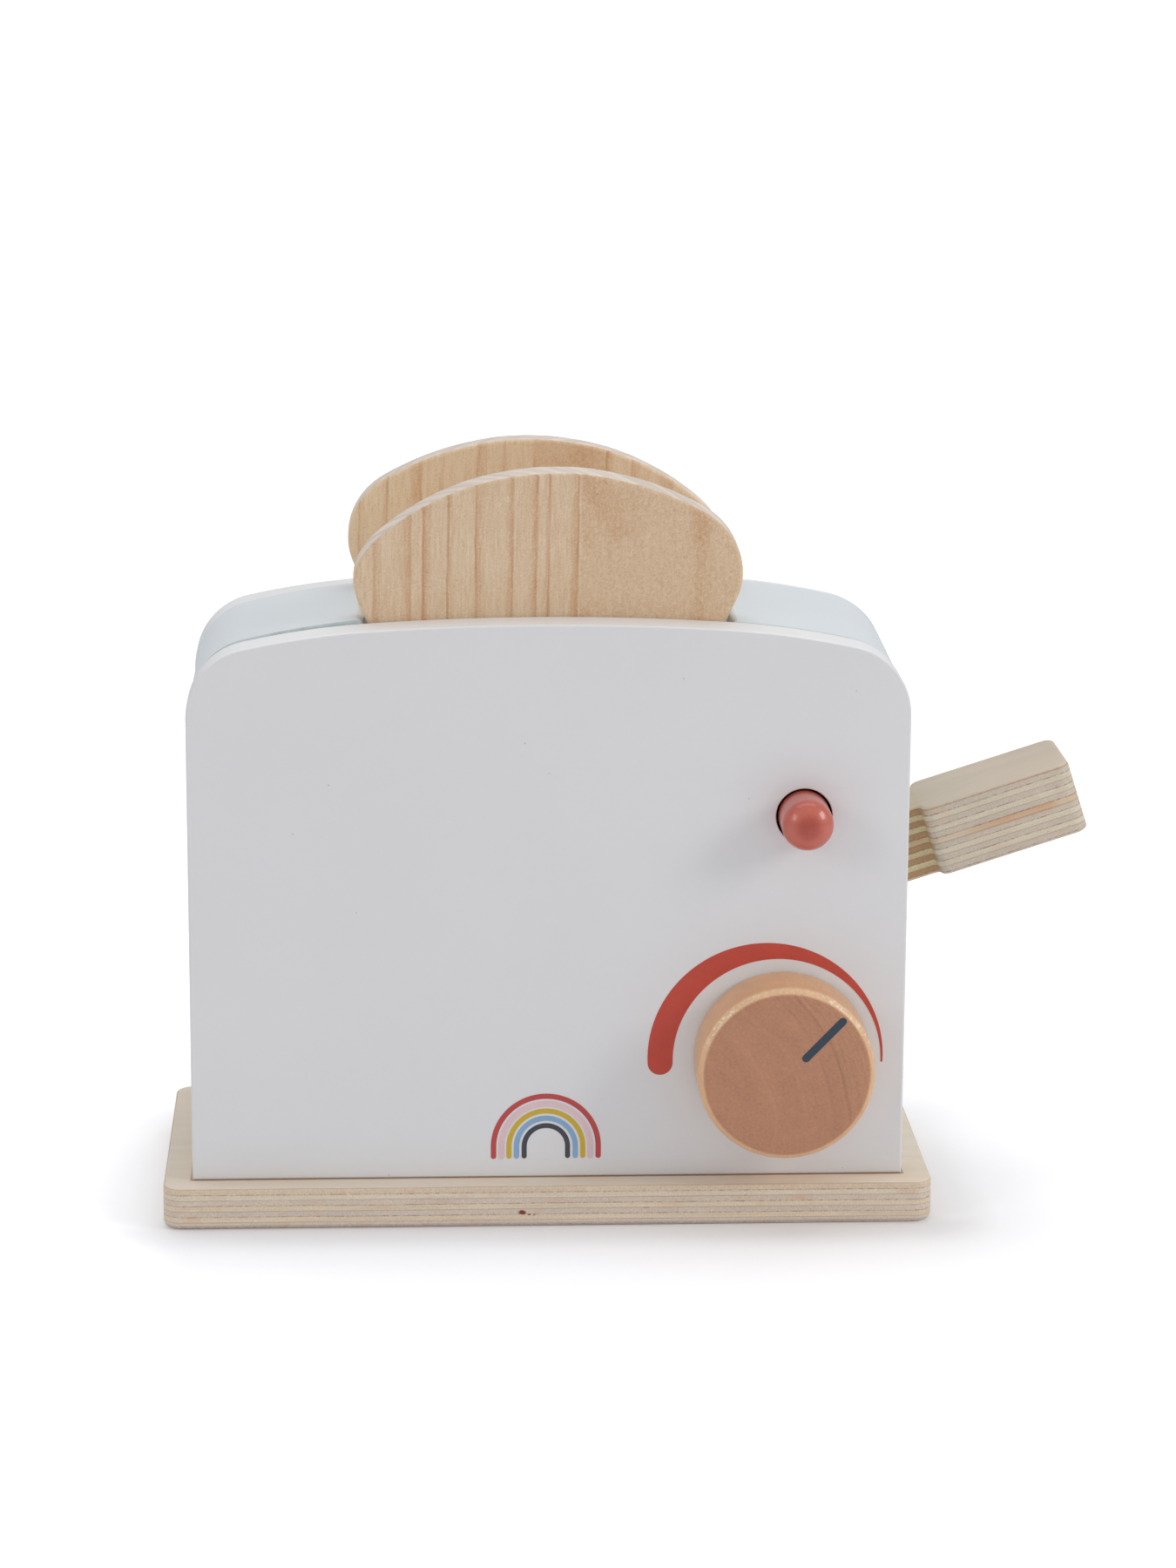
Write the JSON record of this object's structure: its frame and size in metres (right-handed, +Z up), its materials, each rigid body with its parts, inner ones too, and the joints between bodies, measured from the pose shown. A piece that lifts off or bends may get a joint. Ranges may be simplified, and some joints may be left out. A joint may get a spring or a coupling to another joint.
{
  "type": "toy toaster",
  "caption": "Wooden play toaster with two toast slices in slots, a see-saw side lever that lifts them, a turning knob and a sprung push peg, on a plywood base.",
  "frame": {"origin": "centre of the underside of the base plate, midway between the two panels", "axes": "+X to the right towards the lever, -Y is the front with knob and push peg, +Z up"},
  "size_m": [0.2596, 0.1066, 0.2108],
  "materials": {
    "birch_plywood": "clear satin varnish",
    "white_paint": "satin paint on fibreboard",
    "pale_blue_paint": "satin paint",
    "beech": "smooth, unvarnished",
    "steel": "zinc plated",
    "lever_plywood": "clear satin varnish",
    "toast_pine": "clear satin varnish",
    "knob_wood": "clear satin varnish",
    "coral_paint": "gloss paint"
  },
  "bodies": {
    "housing": {"base_plate": "birch_plywood", "front_panel": "white_paint", "rear_panel": "white_paint", "right_shoulder_block": "pale_blue_paint", "left_shoulder_block": "pale_blue_paint", "right_side_wall": "pale_blue_paint", "left_side_wall": "pale_blue_paint", "slot_divider": "pale_blue_paint", "assembly_dowels": "beech", "base_screws": "steel", "lift_guide_rods": "beech", "pivot_dowel": "beech", "pivot_spacers": "beech", "peg_guide_block": "beech"},
    "lever": {"lever": "lever_plywood"},
    "lift": {"lift_platform": "birch_plywood", "lift_post": "beech"},
    "toast_front": {"toast_front": "toast_pine"},
    "toast_rear": {"toast_rear": "toast_pine"},
    "knob": {"knob": "knob_wood", "knob_shaft": "beech", "knob_retainer": "beech"},
    "push_peg": {"push_peg": "coral_paint", "peg_collar": "beech", "peg_spring": "steel"}
  },
  "joints": [
    {"name": "lever_tilt", "type": "hinge", "parent": "housing", "child": "lever", "pos_m": [0.072, 0, 0.08933], "axis": [0, 1, 0], "range_deg": [0, 16]},
    {"name": "lift_slide", "type": "slide", "parent": "housing", "child": "lift", "axis": [0, 0, 1], "range_m": [0, 0.0205]},
    {"name": "toast_front_lift_out", "type": "slide", "parent": "lift", "child": "toast_front", "axis": [0, -0.0349, 0.9994], "range_m": [0, 0.12]},
    {"name": "toast_rear_lift_out", "type": "slide", "parent": "lift", "child": "toast_rear", "axis": [0, 0.0436, 0.999], "range_m": [0, 0.12]},
    {"name": "knob_turn", "type": "hinge", "parent": "housing", "child": "knob", "pos_m": [0.0647, -0.0404, 0.0467], "axis": [0, 1, 0], "continuous": true},
    {"name": "peg_push", "type": "slide", "parent": "housing", "child": "push_peg", "axis": [0, 1, 0], "range_m": [0, 0.0075], "stiffness_N_per_m": 180, "springref_m": -0.004, "deforming": ["peg_spring"]}
  ],
  "couplings": [
    {"joint": "lift_slide", "follows": "lever_tilt", "m_per_rad": 0.0717}
  ]
}
